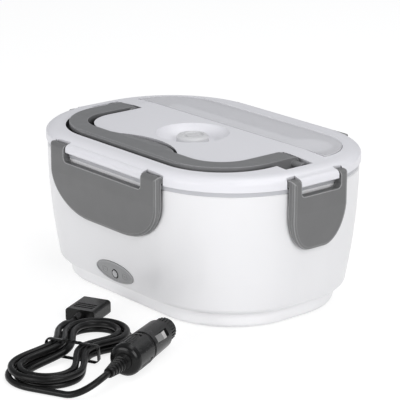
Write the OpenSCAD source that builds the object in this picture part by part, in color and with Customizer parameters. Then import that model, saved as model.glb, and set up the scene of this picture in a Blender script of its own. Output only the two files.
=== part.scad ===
// Electric lunch box: insulated body with a 12 V heater, a food container with a side tray,
// and a lift-off lid that four flap latches hold down. The lid carries a swinging handle,
// a spoon under a clear cover and a steam vent. A detached car lead lies beside the box.
// Origin: middle of the box on its resting plane. +Z up, front towards -Y, long axis along X.

/* [Lid and body] */
// Length of the lid from end to end
lid_l = 228; // [214:1:244]
// Depth of the lid from front to rear
lid_w = 162; // [154:1:172]
// Corner radius of the lid outline
lid_r = 71; // [66:1:74]
// Height of the closed box
box_h = 107.3; // [100:0.1:124]
// Height of the lid from its lower edge to its top
lid_h = 10.6; // [10.4:0.1:12.4]
// Width of the soft rounding round the lid's top edge
lid_round_w = 10.2; // [6:0.1:12]
// Height of the soft rounding round the lid's top edge
lid_round_h = 5.9; // [4:0.1:7]
// How far the lid's rim lies below its middle
rim_drop = 1.3; // [0.4:0.1:1.8]
// Thickness of the lid's top plate
lid_top = 2.4; // [1.8:0.1:2.6]
// Thickness of the lid's lower skirt
lid_skirt = 2.4; // [2:0.1:2.6]
// Thickness of the container's rim, which shows as a band
band_t = 2.6; // [2:0.1:4]
// Wall of the outer housing
wall = 2.2; // [1.6:0.1:2.8]
// How far the body's rim stands in from the lid outline
rim_in = 1; // [0.6:0.1:2]
// How far the body draws in from its rim to its bottom
wall_draw = 7.4; // [5:0.1:8.5]
// Radius of the body's bottom edge
bottom_r = 4.5; // [3:0.5:6]
// Height of the plinth under the body
plinth_h = 12.5; // [11:0.5:14]
// How far the plinth stands in from the lid outline
plinth_in = 16.3; // [15:0.1:18]
// Height of the feet below the plinth
foot_h = 0.8; // [0.5:0.1:2]
// Diameter of a foot
foot_d = 12; // [8:1:16]

/* [Latches] */
// Half the width of a front or rear latch
big_half = 56.6; // [52:0.2:60]
// Half the clear width between the ears of a front or rear latch
big_win = 41.2; // [34:0.2:43]
// Half the width of an end latch
small_half = 23.4; // [22:0.2:26]
// Half the clear width between the ears of an end latch
small_win = 17.2; // [15:0.2:18]
// How far a front or rear latch stands out from the lid outline
big_proud = 4; // [3.8:0.1:5]
// How far an end latch stands out from the lid outline
small_proud = 5; // [4.9:0.1:6.2]
// Height of a front or rear latch below its hinge
big_drop = 45.4; // [38:0.1:50]
// Height of an end latch below its hinge
small_drop = 46.6; // [38:0.1:50]
// How far a latch leans in over its lower part
latch_lean = 2.6; // [0:0.1:3]
// Thickness of a latch plate
latch_t = 2.2; // [1.6:0.1:2.6]
// Rounding of a latch's outer edge
latch_edge = 2.2; // [1:0.1:3]
// Diameter of the stub pins that a latch swings on
latch_pin_d = 2.6; // [2.2:0.1:2.8]
// Gap between a latch ear and the lug beside it
ear_gap = 0.8; // [0.5:0.1:1.2]

/* [Handle] */
// Half the width of the lid's middle field between the handle's arms
field_half = 73.5; // [68:0.5:76]
// Front edge of the lid's middle field
field_front = 48.5; // [44:0.5:52]
// Corner radius of the middle field
field_r = 28; // [16:1:32]
// Gap between the handle and the channel's sides
handle_gap = 2.4; // [1.6:0.1:3]
// Width of the handle's arms
arm_w = 15.2; // [13:0.1:17]
// Width of the handle's front bar
bar_w = 14; // [12:0.2:15]
// Thickness of the handle
handle_t = 7.2; // [5:0.1:7.4]
// How far the handle stands above the lid
handle_proud = 1.5; // [0.4:0.1:2]
// Diameter of a handle pin
handle_pin_d = 2.6; // [2.2:0.1:3]
// Half the width of the grip swelling
grip_half = 34; // [26:1:38]
// How far the grip swells towards the middle of the lid
grip_out = 12; // [8:0.5:13]

/* [Vent and spoon] */
// Radius of the steam vent's dish
dish_r = 25; // [22:0.5:27]
// Depth of the dish
dish_h = 7.4; // [5:0.1:7.6]
// How far the dish lies in front of the lid's middle
dish_y = 7; // [5:0.5:9]
// Radius of the vent plug's cap
cap_r = 11; // [8:0.5:12]
// Half the length of the spoon cover
cover_half = 97; // [92:0.5:99]
// Front edge of the spoon cover
cover_front = 23; // [20:0.5:24]
// How far the cover's rear edge stands in from the lid outline
cover_in = 20.5; // [18:0.5:23]
// Radius of the cover's rear corners
cover_r = 37; // [30:0.5:37]
// Thickness of the spoon cover
cover_t = 1.6; // [1.2:0.1:2]
// Width of the spoon's handle
spoon_w = 11; // [8:0.5:13]

/* [Container and heater] */
// Wall of the food container
pot_wall = 1.6; // [1.2:0.1:2.2]
// Gap from the container's bottom to the heating plate
pot_gap = 0.4; // [0.3:0.1:0.8]
// Length of the heating plate
plate_l = 160; // [140:1:164]
// Width of the heating plate
plate_w = 94; // [84:1:95]
// Thickness of the heating plate
plate_t = 1.5; // [1.2:0.1:2]
// Height of the side tray
tray_h = 44; // [30:1:50]
// How far the side tray's flat side lies from the box's middle
tray_x = 34; // [28:1:44]

/* [Indicator and inlet] */
// Width of the oval indicator panel
panel_w = 39; // [34:0.5:44]
// Height of the oval indicator panel
panel_h = 14; // [12:0.5:16]
// Height of the indicator panel's middle
panel_z = 23; // [22:0.5:25]
// Diameter of the indicator's lens
lens_d = 5; // [4:0.2:6]
// Width of the power inlet's cavity
inlet_w = 22; // [21.8:0.1:24]
// Height of the power inlet's cavity
inlet_h = 10.4; // [10:0.1:11.4]
// Depth of the power inlet's cavity
inlet_depth = 20; // [16:0.5:21]
// Distance between the inlet's two pins
pin_pitch = 9; // [8:0.5:10]
// Diameter of an inlet pin
pin_d = 2.4; // [2:0.1:3]

/* [Car lead] */
// Diameter of the cord
cord_d = 4.2; // [4:0.1:4.4]
// Turns in the tied hank
hank_turns = 4.375; // [3.375:1:4.375]
// Half the length of the hank's straight runs
hank_run = 32; // [32:1:36]
// Step from one turn of the hank to the next
hank_step = 5.4; // [5.4:0.1:5.8]
// Diameter of the car plug's body
plug_d = 21; // [20:0.5:21.5]
// Length of the car plug without its strain relief
plug_l = 66; // [60:1:72]
// Width of the box connector
conn_w = 21; // [19:0.5:21.2]
// Thickness of the box connector
conn_t = 9.5; // [8.5:0.1:9.6]
// Length of the box connector
conn_l = 24; // [20:1:28]

/* [Hidden] */
$fn = 96;

white = [0.93, 0.93, 0.95];
plateau_white = [0.84, 0.84, 0.86];
grey = [0.43, 0.43, 0.44];
panel_grey = [0.66, 0.66, 0.67];
clear_grey = [0.76, 0.76, 0.8, 0.8];
black = [0.08, 0.08, 0.09];
steel = [0.75, 0.76, 0.78];
brass = [0.78, 0.66, 0.36];
alu = [0.8, 0.81, 0.82];
red = [0.75, 0.15, 0.12];
green = [0.1, 0.4, 0.22];

// clearances
seat = 0.1;
run = 0.06;
clear = 0.3;

// plan: corner centres of the lid outline
half_l = lid_l / 2;
half_w = lid_w / 2;
cx = half_l - lid_r;
cy = half_w - lid_r;

// heights
skirt_z = box_h - lid_h;
flange_top = skirt_z - 0.2;
rim_z = flange_top - band_t;
flange_z = rim_z + seat;
bulge_z = plinth_h + bottom_r;
inlet_t = 1.4;
inlet_z = plinth_h + wall + seat + inlet_t + inlet_h / 2;
deck_z = inlet_z + inlet_h / 2 + inlet_t + seat;
deck_top = deck_z + 2;
plate_top = deck_top + plate_t;
pot_z = plate_top + pot_gap;
pan_z = deck_top - 1.6;

// wall of the body: a soft bulge that draws in towards the bottom
function wall_in(z) = rim_in + wall_draw * pow((rim_z - z) / (rim_z - 16), 2);
function wall_line(extra, z0, z1, n) =
    [for (i = [0:n]) let (z = z0 + (z1 - z0) * i / n) [lid_r - wall_in(z) - extra, z]];
function arc(x, z, rx, rz, a0, a1, n) =
    [for (i = [0:n]) let (a = a0 + (a1 - a0) * i / n) [x + rx * cos(a), z + rz * sin(a)]];

// sweeps a half profile (x outwards from the corner centres) round the box's plan
module wrap(z0 = 0, z1 = 0) {
    for (i = [0:3]) {
        sx = (i == 0 || i == 3) ? 1 : -1;
        sy = i < 2 ? 1 : -1;
        translate([sx * cx, sy * cy, 0])
            rotate([0, 0, 90 * i]) rotate_extrude(angle = 90) children();
    }
    for (m = [0, 1]) {
        mirror([0, m, 0]) translate([-cx, cy, 0])
            rotate([90, 0, 90]) linear_extrude(2 * cx) children();
        mirror([m, 0, 0]) translate([cx, cy, 0])
            rotate([90, 0, 0]) linear_extrude(2 * cy) children();
    }
    if (z1 > z0) translate([-cx, -cy, z0]) cube([2 * cx, 2 * cy, z1 - z0]);
}

// prism over the lid outline moved in by a distance
module slab(inset, z0, z1) {
    wrap(z0, z1) translate([0, z0]) square([lid_r - inset, z1 - z0]);
}

// rounded rectangle between two corners
module round_rect(x0, x1, y0, y1, r) {
    translate([x0 + r, y0]) square([x1 - x0 - 2 * r, y1 - y0]);
    translate([x0, y0 + r]) square([x1 - x0, y1 - y0 - 2 * r]);
    for (x = [x0 + r, x1 - r]) for (y = [y0 + r, y1 - r]) translate([x, y]) circle(r);
}

module stadium(l, w) {
    square([l - w, w], center = true);
    for (s = [-1, 1]) translate([s * (l - w) / 2, 0]) circle(d = w);
}

// prism along X over a profile in the Y-Z plane
module along_x(x0, x1) {
    translate([x0, 0, 0]) rotate([90, 0, 90]) linear_extrude(x1 - x0) children();
}

// prism towards +Y over a profile in the X-Z plane
module along_y(y0, y1) {
    translate([0, y1, 0]) rotate([90, 0, 0]) linear_extrude(y1 - y0) children();
}

module rod_x(x0, x1, y, z, r) {
    translate([x0, y, z]) rotate([0, 90, 0]) cylinder(r = r, h = x1 - x0);
}

module rod_y(y0, y1, x, z, r) {
    translate([x, y0, z]) rotate([-90, 0, 0]) cylinder(r = r, h = y1 - y0);
}

// ---------- latches: geometry shared by lid, housing and flaps ----------

hinge_z = box_h - 6.7;
pin_r = latch_pin_d / 2;
ear_r = pin_r + 1;
ear_top = hinge_z + ear_r;
// flaps: [half width, half window, outer face, lowest edge, half width of the catch, lid edge,
// depth of the hinge behind the outer face]
big = [big_half, big_win, half_w + big_proud, hinge_z - big_drop, 26, half_w, 3.7];
small = [small_half, small_win, half_l + small_proud, hinge_z - small_drop, 10, half_l, 5.3];
flap_in = rim_in - 0.5;
catch_z = hinge_z - 29;
pin_len = 5;

function hinge_y(f) = f[2] - f[6];

// places a part made for the front at the front, right, rear or left
module side(k) {
    rotate([0, 0, [0, 90, 180, -90][k]]) children();
}

// height at which a flap's corners and its lean begin
function lean_z(f) = hinge_z - (f[0] > 40 ? 17 : 20);

// slice of a flap between two depths, its outline moved in by a distance
module flap_slice(f, i, y0, y1) {
    zc = lean_z(f);
    flat = f[0] > 40 ? 18 : 6;
    k = latch_lean / (zc - f[3]);
    along_y(y0, y1) translate([-f[0] + i, zc]) square([2 * (f[0] - i), ear_top - zc]);
    multmatrix([[1, 0, 0, 0], [0, 1, -k, k * zc], [0, 0, 1, 0], [0, 0, 0, 1]]) along_y(y0, y1)
        polygon(concat(arc(flat, zc, f[0] - flat - i, zc - f[3] - i, 0, -90, 12),
            arc(-flat, zc, f[0] - flat - i, zc - f[3] - i, -90, -180, 12)));
}

// side view of a flap: upright outer face, rounded crest, round about the hinge at the back
function flap_side(f) =
    let (y = hinge_y(f), r = ear_r, c = y - f[5] + flap_in, w = f[6] - 0.5)
    concat([[-f[2], f[3] - 1]],
        arc(-f[2] + w, hinge_z - 0.8, w, ear_top - hinge_z + 0.8, 180, 90, 8),
        arc(-y, hinge_z, r, r, 90, -acos(c / r), 12), [[-y + c, f[3] - 1]]);

module flap(f) {
    y_in = -f[2] + latch_t;
    difference() {
        intersection() {
            hull() {
                flap_slice(f, latch_edge, -f[2], -f[2] + 0.1);
                flap_slice(f, 0.3 * latch_edge, -f[2] + 0.3 * latch_edge,
                    -f[2] + 0.3 * latch_edge + 0.1);
                flap_slice(f, 0, -f[2] + latch_edge, -hinge_y(f) + ear_r + 1);
            }
            along_x(-f[0] - 1, f[0] + 1) polygon(flap_side(f));
        }
        // hollow behind the plate, below the ears
        intersection() {
            hull() flap_slice(f, latch_t, y_in, -f[2] + 20);
            translate([-f[0], y_in, f[3]]) cube([2 * f[0], 30, hinge_z - 11 - f[3]]);
        }
        // window between the ears
        translate([0, 5 - f[2], 0]) along_y(-20, 20)
            round_rect(-f[1], f[1], hinge_z - 8.8, ear_top + 20, 3);
    }
    // catch that hooks under the rib on the body
    along_x(-f[4], f[4]) polygon([[y_in + 0.9, catch_z - 6], [y_in + 0.5, catch_z],
        [catch_in(f), catch_z], [catch_in(f), catch_z - 1.2]]);
    for (s = [-1, 1]) rod_x(s > 0 ? f[1] - pin_len : -f[1] - 0.5,
        s > 0 ? f[1] + 0.5 : -f[1] + pin_len, -hinge_y(f), hinge_z, pin_r);
}

function rib_out(f) = f[5] + (f[0] > 40 ? 0 : -0.8);
function catch_in(f) = -rib_out(f) - clear;

// flap number k in its place, kept clear of whatever rises straight up past it
module flap_at(k) {
    f = (k % 2 == 0) ? big : small;
    difference() {
        side(k) flap(f);
        slab(flap_in, 0, hinge_z - ear_r);
        side(k) translate([-f[4] - 3, -rib_out(f) - clear, 0])
            cube([2 * f[4] + 6, 20, catch_z - 6]);
    }
}

// ---------- outer housing ----------

module housing_outer() {
    wrap(plinth_h, rim_z) polygon(concat([[0, plinth_h]],
        arc(lid_r - wall_in(bulge_z) - bottom_r, bulge_z, bottom_r, bottom_r, -90, 0, 5),
        wall_line(0, bulge_z + 2, rim_z - 1, 10),
        [[lid_r - rim_in - 0.6, rim_z], [0, rim_z]]));
}

module housing_cavity(z0, z1) {
    wrap(z0, z1) polygon(concat([[0, z0]], wall_line(wall, z0, z1, 8), [[0, z1]]));
}

slope = atan(2 * wall_draw * (rim_z - panel_z) / pow(rim_z - 16, 2));
panel_y = -(half_w - wall_in(panel_z));
inlet_y = half_w - wall_in(inlet_z);
screw_x = [-78, 78];
screw_y = [-18, 18];

// frame on the front wall: X across, Y up the wall, Z out of the wall
module on_panel() {
    translate([0, panel_y, panel_z]) rotate([90 + slope, 0, 0]) children();
}

module oval(w, h) {
    polygon([for (i = [0:63]) [w / 2 * cos(i * 5.625), h / 2 * sin(i * 5.625)]]);
}

module outer_housing() {
    color(white) {
        difference() {
            housing_outer();
            housing_cavity(deck_top, rim_z + 1);
            housing_cavity(plinth_h + wall, deck_z);
            slab(plinth_in + 3.1, plinth_h - 1, plinth_h + wall + 1);
            translate([0, 0, deck_z - 1]) linear_extrude(4)
                stadium(plate_l - 10, plate_w - 10);
            // recess of the indicator panel and bore of its lens
            on_panel() translate([0, 0, -1]) linear_extrude(3) oval(panel_w + 0.4, panel_h + 0.4);
            on_panel() translate([0, -1.4, -6]) cylinder(d = lens_d + 0.4, h = 8);
            // opening of the inlet
            translate([-inlet_w / 2 - inlet_t - seat, inlet_y - 20, plinth_h + wall])
                cube([inlet_w + 2 * (inlet_t + seat), 40, deck_z - plinth_h - wall]);
        }
        // screw posts under the deck
        for (x = screw_x) for (y = screw_y) difference() {
            translate([x, y, post_z]) cylinder(d = 8, h = deck_z + 1 - post_z);
            translate([x, y, post_z - 1]) cylinder(d = 2.6, h = 9);
        }
        // slots that hold the indicator board
        for (s = [-1, 1]) difference() {
            translate([s > 0 ? 12 : -16, board_y - 2, panel_z - 6]) cube([4, 5, deck_z + 6.5 - panel_z]);
            translate([-15 - clear, board_y - clear / 2, panel_z - 8])
                cube([30 + 2 * clear, 1.2 + clear, 20]);
        }
        // ribs that the latches hook under
        for (k = [0:3]) {
            f = (k % 2 == 0) ? big : small;
            reach = (k % 2 == 0) ? half_w : half_l;
            side(k) along_x(-f[4], f[4]) polygon([[-reach + wall_in(catch_z) + 1, catch_z + 4],
                [-reach + wall_in(catch_z) + 1, catch_z + clear], [-rib_out(f), catch_z + clear],
                [-rib_out(f), catch_z + clear + 1], [-reach + wall_in(catch_z + 4) - 0.2, catch_z + 4]]);
        }
    }
}

// ---------- plinth with its feet and screws ----------

post_z = plinth_h - 3;

module bottom_cover() {
    r = lid_r - plinth_in;
    color(white) difference() {
        union() {
            wrap(foot_h, plinth_h) polygon(concat([[0, foot_h]],
                arc(r - 3.2, foot_h + 3.2, 3.2, 3.2, -90, 0, 5), [[r, plinth_h], [0, plinth_h]]));
            slab(plinth_in + 3.4, plinth_h - 1, plinth_h + wall);
        }
        difference() {
            slab(plinth_in + 5.2, foot_h + 2, plinth_h + wall + 1);
            for (x = screw_x) for (y = screw_y)
                translate([x, y, 0]) cylinder(d = 11, h = post_z);
        }
        for (x = screw_x) for (y = screw_y) {
            translate([x, y, -1]) cylinder(d = 7, h = post_z - 1);
            translate([x, y, -1]) cylinder(d = 3.4, h = 20);
        }
        for (x = foot_x) for (y = foot_y)
            translate([x, y, foot_h - 1]) cylinder(d = foot_d + 0.2, h = 1.8);
        // cooling slots
        for (i = [-3:3]) translate([i * 9, 0, 0]) linear_extrude(6) rotate(90) stadium(30, 3);
    }
}

foot_x = [-66, 66];
foot_y = [-38, 38];

module rubber_feet() {
    color(black) for (x = foot_x) for (y = foot_y) translate([x, y, 0]) {
        cylinder(d1 = foot_d - 1.2, d2 = foot_d - 0.2, h = foot_h);
        translate([0, 0, foot_h]) cylinder(d = foot_d - 0.2, h = 0.75);
    }
}

module cover_screws() {
    color(steel) for (x = screw_x) for (y = screw_y) translate([x, y, 0]) difference() {
        union() {
            translate([0, 0, post_z - 4.1]) cylinder(d = 5.8, h = 2.1);
            translate([0, 0, post_z - 2.1]) cylinder(d = 2.56, h = 8);
        }
        translate([0, 0, post_z - 5]) for (a = [0, 90]) rotate([0, 0, a])
            translate([-1.7, -0.4, 0]) cube([3.4, 0.8, 2]);
    }
}

// ---------- heater ----------

stud_x = 46;
heater_h = 5;

module heating_plate() {
    color(alu) difference() {
        union() {
            translate([0, 0, deck_top]) linear_extrude(plate_t) stadium(plate_l, plate_w);
            translate([0, 0, pan_z]) linear_extrude(2) stadium(plate_l - 10.6, plate_w - 10.6);
            for (s = [-1, 1]) translate([s * stud_x, 0, pan_z - 9.6]) cylinder(d = 4, h = 10);
        }
        translate([0, 0, pan_z + 1.4]) linear_extrude(0.4) stadium(plate_l - 30, plate_w - 30);
    }
}

module heater_element() {
    color(brass) translate([-36, -10, pan_z - heater_h]) cube([72, 20, heater_h]);
    color(steel) for (s = [-1, 1]) translate([s * 36 - (s > 0 ? 0.5 : 5.5), s * 4 - 2, pan_z - 3])
        cube([6, 4, 0.8]);
}

module heater_clamp() {
    z = pan_z - heater_h - 1.2;
    color(steel) difference() {
        translate([-54, -8, z]) cube([108, 16, 1.2]);
        for (s = [-1, 1]) translate([s * stud_x, 0, z - 1]) cylinder(d = 4.4, h = 4);
    }
}

module clamp_nuts() {
    color(steel) for (s = [-1, 1]) translate([s * stud_x, 0, pan_z - heater_h - 4.4])
        difference() {
            cylinder(d = 8, h = 3.2, $fn = 6);
            translate([0, 0, -1]) cylinder(d = 4.1, h = 6);
        }
}

module thermostat() {
    color(steel) translate([0, 26, pan_z - 4]) cylinder(d = 17, h = 4);
    color(black) translate([0, 26, pan_z - 7]) cylinder(d = 15, h = 3);
    color(steel) for (s = [-1, 1]) translate([s * 4 - 2, 33, pan_z - 6.6]) cube([4, 8, 0.8]);
}

module thermal_fuse() {
    color(white) rod_x(-7, 7, -24, pan_z - 2, 2);
    color(steel) for (s = [-1, 1]) rod_x(s > 0 ? 7 : -17, s > 0 ? 17 : -7, -24, pan_z - 2, 0.5);
    color(steel) difference() {
        translate([-3, -31, pan_z - 4.6]) cube([6, 14, 4.6]);
        translate([-4, -26.1, pan_z - 4.1]) cube([8, 4.2, 5]);
        for (y = [-32, -21.3]) translate([-4, y, pan_z - 5]) cube([8, 5.3, 4]);
    }
}

// ---------- indicator ----------

board_y = panel_y + 9;

module indicator_panel() {
    color(panel_grey) on_panel() difference() {
        union() {
            translate([0, 0, -0.9]) linear_extrude(1.2) oval(panel_w, panel_h);
            translate([0, 0, 0.2]) linear_extrude(0.5) difference() {
                oval(panel_w, panel_h);
                oval(panel_w - 2, panel_h - 2);
            }
        }
        translate([0, -1.4, -2]) cylinder(d = lens_d + 0.1, h = 4);
        for (s = [-1, 1]) translate([s * 10.5, -0.6, 0.1]) linear_extrude(1) difference() {
            round_rect(-2.6, 2.6, -2.2, 2.2, 0.8);
            round_rect(-2.1, 2.1, -1.7, 1.7, 0.5);
        }
        for (s = [-1, 1]) translate([s * 10.5, -0.6, 0.1]) cylinder(d = 1.2, h = 1);
    }
}

module led_lens() {
    color(clear_grey) on_panel() translate([0, -1.4, -4]) {
        cylinder(d = lens_d, h = 4.6);
    }
}

module led_board() {
    color(green) translate([-15, board_y, panel_z - 6.2]) cube([30, 1.2, 7.6]);
}

module led_lamp() {
    color(red) {
        rod_y(board_y - 1.6, board_y, 0, panel_z - 2, 1.9);
        rod_y(board_y - 3, board_y - 1.5, 0, panel_z - 2, 1.5);
    }
}

// ---------- power inlet at the rear ----------

module inlet_socket() {
    zi = inlet_z - inlet_h / 2;
    x = inlet_w / 2 + inlet_t;
    color(black) difference() {
        intersection() {
            union() {
                translate([-x, inlet_y - inlet_depth - 2, zi - inlet_t])
                    cube([2 * x, inlet_depth + 6, inlet_h + 2 * inlet_t]);
                // stops behind the wall
                for (s = [-1, 1]) translate([s * (x + 0.5) - 1, inlet_y - wall - 3.8, zi])
                    cube([2, 1.6, inlet_h]);
            }
            wrap(zi - 3, zi + inlet_h + 3) polygon(concat([[0, zi - 3]],
                wall_line(0.4, zi - 3, zi + inlet_h + 3, 4), [[0, zi + inlet_h + 3]]));
        }
        along_y(inlet_y - inlet_depth, inlet_y + 9)
            round_rect(-inlet_w / 2, inlet_w / 2, zi, zi + inlet_h, 2.5);
        for (s = [-1, 1]) rod_y(inlet_y - inlet_depth - 5, inlet_y, s * pin_pitch / 2,
            inlet_z, pin_d / 2 + 0.02);
    }
}

module inlet_pins() {
    color(brass) for (s = [-1, 1])
        rod_y(inlet_y - inlet_depth - 6, inlet_y - 6, s * pin_pitch / 2, inlet_z, pin_d / 2);
}

// ---------- swept tubes ----------

function unit(v) = v / norm(v);
function turn(pts, i) = let (n = len(pts) - 1)
    unit(pts[min(i + 1, n)] - pts[max(i - 1, 0)]);
function flatside(t) = abs(t[2]) > 0.95 ? [0, 1, 0] : unit([-t[1], t[0], 0]);
function tube_points(pts, r, sides) =
    [for (i = [0:len(pts) - 1]) let (t = turn(pts, i), a = flatside(t), b = cross(t, a))
        for (k = [0:sides - 1]) let (w = 360 * (k + 0.5) / sides)
            pts[i] + r * (cos(w) * a + sin(w) * b)];
function tube_faces(n, sides) = concat(
    [for (i = [0:n - 2]) for (k = [0:sides - 1]) let (m = (k + 1) % sides)
        [i * sides + k, (i + 1) * sides + k, (i + 1) * sides + m]],
    [for (i = [0:n - 2]) for (k = [0:sides - 1]) let (m = (k + 1) % sides)
        [i * sides + k, (i + 1) * sides + m, i * sides + m]],
    [for (k = [1:sides - 2]) [0, k, k + 1]],
    [for (k = [1:sides - 2]) [(n - 1) * sides, (n - 1) * sides + k + 1, (n - 1) * sides + k]]);

module tube(pts, r, sides) {
    polyhedron(tube_points(pts, r, sides), tube_faces(len(pts), sides));
}

// corners of a route cut round with arcs of one radius
function fillet_point(a, b, c, r, n) =
    let (u = unit(a - b), v = unit(c - b), ang = acos(max(-1, min(1, u * v))),
        d = r / tan(ang / 2), m = b + unit(u + v) * r / sin(ang / 2), p = b + u * d - m,
        q = b + v * d - m, w = 180 - ang)
    [for (i = [0:n]) m + (sin((1 - i / n) * w) * p + sin(i / n * w) * q) / sin(w)];
function rounded(pts, r, n) = concat([pts[0]],
    [for (i = [1:len(pts) - 2]) each fillet_point(pts[i - 1], pts[i], pts[i + 1], r, n)],
    [pts[len(pts) - 1]]);

module inner_leads() {
    yi = inlet_y - inlet_depth - 6;
    xp = pin_pitch / 2;
    zl = pan_z - 6.2;
    zh = pan_z - 2.6;
    zf = pan_z - 2;
    color(red) tube(rounded([[-xp, yi, inlet_z], [-xp, yi - 2.4, inlet_z], [-4, 43, zl],
        [-4, 41, zl]], 1, 2), 0.8, 6);
    color(red) tube(rounded([[4, 41, zl], [4, 42.6, zl], [20, 42, zl], [39, 30, zh],
        [39, 6, zh]], 1, 2), 0.8, 6);
    color(black) tube(rounded([[xp, yi, inlet_z], [xp, yi - 2, inlet_z], [30, 44, 20],
        [62, 20, 20], [62, -14, 21], [30, -24, zf], [17, -24, zf]], 1, 2), 0.8, 6);
    color(black) tube(rounded([[-17, -24, zf], [-39, -24, zf], [-39, -6, zh]], 1, 2), 0.8, 6);
}

// ---------- food container and side tray ----------

pot_round = 7;
function pot_in(z) = 5 + (rim_z - z) * 0.09;

module pot_solid(extra, z0, z1) {
    zr = z0 + pot_round;
    wrap(z0, z1) polygon(concat([[0, z0]],
        arc(lid_r - pot_in(zr) - extra - pot_round, zr, pot_round, pot_round, -90, 0, 6),
        [[lid_r - pot_in(z1) - extra, z1], [0, z1]]));
}

module food_container() {
    color(clear_grey) difference() {
        union() {
            pot_solid(0, pot_z, flange_top);
            slab(rim_in + 0.3, flange_z, flange_top);
        }
        pot_solid(pot_wall, pot_z + pot_wall, flange_top + 1);
    }
}

tray_z = pot_z + pot_wall + seat;
tray_clear = 1.2;

module tray_body(extra, z0, z1) {
    intersection() {
        pot_solid(pot_wall + tray_clear + extra, z0, z1);
        translate([0, 0, z0 - 1]) linear_extrude(z1 - z0 + 2)
            round_rect(-half_l - 40, -tray_x - extra, -half_w - 40, half_w + 40, 4);
    }
}

module side_tray() {
    color(plateau_white) {
        difference() {
            tray_body(0, tray_z, tray_z + tray_h);
            tray_body(pot_wall, tray_z + pot_wall, tray_z + tray_h + 1);
        }
        // divider
        intersection() {
            tray_body(0.6, tray_z + 1, tray_z + tray_h - 8);
            translate([-half_l, -0.8, tray_z]) cube([half_l, 1.6, tray_h]);
        }
    }
}

// ---------- lid ----------

floor_t = 1.8;
handle_top = box_h + handle_proud;
pivot_r = 4.6;
pivot_z = handle_top - pivot_r;
channel_z = handle_top - handle_t - 1.3;
pit_z = pivot_z - pivot_r - 0.7;
channel_t = 1.5;
spoon_z = box_h - 8.7;
rail_z = skirt_z + 1.9;
pivot_y = 1.6;
channel_rear = 8;
arm_in = field_half + handle_gap;
arm_out = arm_in + arm_w;
bar_in = field_front + handle_gap;
bar_out = bar_in + bar_w;
rim_half = arm_out + handle_gap;
rim_front = bar_out + handle_gap;
pit_half = rim_half + 8.5;
pit_front = -15.5;
rim_r = 47;

module middle_field(g) {
    difference() {
        round_rect(-field_half + g, field_half - g, -field_front + g, 60, field_r - g);
        swell(field_front, grip_half, grip_out, g);
    }
}

// arc-shaped swelling on a straight edge at -y, grown by g
module swell(y, half, out, g) {
    r = (half * half + out * out) / (2 * out);
    translate([0, -y + out - r]) circle(r + g);
}

// the handle's channel in plan, grown by g
module channel(g) {
    difference() {
        round_rect(-rim_half - g, rim_half + g, -rim_front - g, 60, rim_r + g);
        middle_field(g);
        translate([-150, channel_rear + g]) square([300, 100]);
    }
}

// deep pits round the handle's pivots, grown by g
module pits(g) {
    for (s = [-1, 1]) translate([s * (field_half + pit_half) / 2 - (pit_half - field_half) / 2 - g,
        pit_front - g]) square([pit_half - field_half + 2 * g, channel_rear - pit_front + 2 * g]);
}

// the spoon compartment in plan, grown by g
module spoon_plan(g) {
    y1 = half_w - cover_in + g;
    difference() {
        round_rect(-cover_half - g, cover_half + g, cover_front - 60, y1, cover_r + g);
        translate([-150, -150]) square([300, 150 + cover_front - g]);
    }
}

module dish(grow) {
    x0 = cap_r + 2.5;
    w = dish_r - x0;
    translate([0, -dish_y, 0]) rotate_extrude() polygon(concat([[0, box_h - dish_h - grow]],
        [for (i = [0:8]) [x0 + grow + w * i / 8, box_h - dish_h - grow + dish_h * pow(i / 8, 2)]],
        [[dish_r + grow + 0.01, box_h + 1 - 2.2 * sign(grow)], [0, box_h + 1 - 2.2 * sign(grow)]]));
}

module lug(f) {
    l = f[1] - ear_gap;
    y = f[2] - 1.2;
    along_x(-l, l) polygon(concat([[-hinge_y(f) + 5, rail_z], [-f[5] + 1, rail_z],
        [-f[5] + 1, hinge_z - 3]], [[-y + 0.8, hinge_z - 3]],
        [[-y, hinge_z - 2.2]], arc(-y + 4, hinge_z, 4, 3, 180, 90, 6),
        [[-hinge_y(f) + 5, box_h - 2.2]]));
}

module notch(f) {
    for (s = [-1, 1]) {
        x0 = s > 0 ? f[1] - ear_gap : -f[0] - 0.6;
        x1 = s > 0 ? f[0] + 0.6 : -f[1] + ear_gap;
        rod_x(x0, x1, -hinge_y(f), hinge_z, ear_r + 0.4);
        translate([x0, -hinge_y(f) - 20, hinge_z]) cube([x1 - x0, 20 + ear_r + 0.4, 20]);
        difference() {
            translate([x0, -hinge_y(f) - 20, skirt_z - 1]) cube([x1 - x0, 26, hinge_z - skirt_z + 1]);
            slab_for(f, rim_in + 0.2);
        }
        rod_x(s > 0 ? f[1] - pin_len - 0.6 : -f[1], s > 0 ? f[1] : -f[1] + pin_len + 0.6,
            -hinge_y(f), hinge_z, pin_r + run);
    }
}

// prism over the outline in the frame of a front or an end flap
module slab_for(f, inset) {
    if (f[2] == big[2]) slab(inset, skirt_z - 2, hinge_z + 1);
    else rotate([0, 0, -90]) slab(inset, skirt_z - 2, hinge_z + 1);
}

module lid_outer() {
    wrap(skirt_z, box_h) polygon(concat([[0, skirt_z], [lid_r - 0.5, skirt_z],
        [lid_r, skirt_z + 0.5]],
        arc(lid_r - lid_round_w, box_h - lid_round_h, lid_round_w, lid_round_h - rim_drop, 0, 90, 9),
        [[lid_r - 33, box_h], [0, box_h]]));
}

module lid_hollow() {
    a = lid_r - lid_skirt;
    b = lid_r - 5.6;
    top = box_h - lid_top;
    wrap(skirt_z - 1, top) polygon([[0, skirt_z - 1], [a, skirt_z - 1], [a, rail_z], [b, rail_z],
        [b, top - 3.2], [b - 5, top - rim_drop], [lid_r - 33, top], [0, top]]);
}

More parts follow.
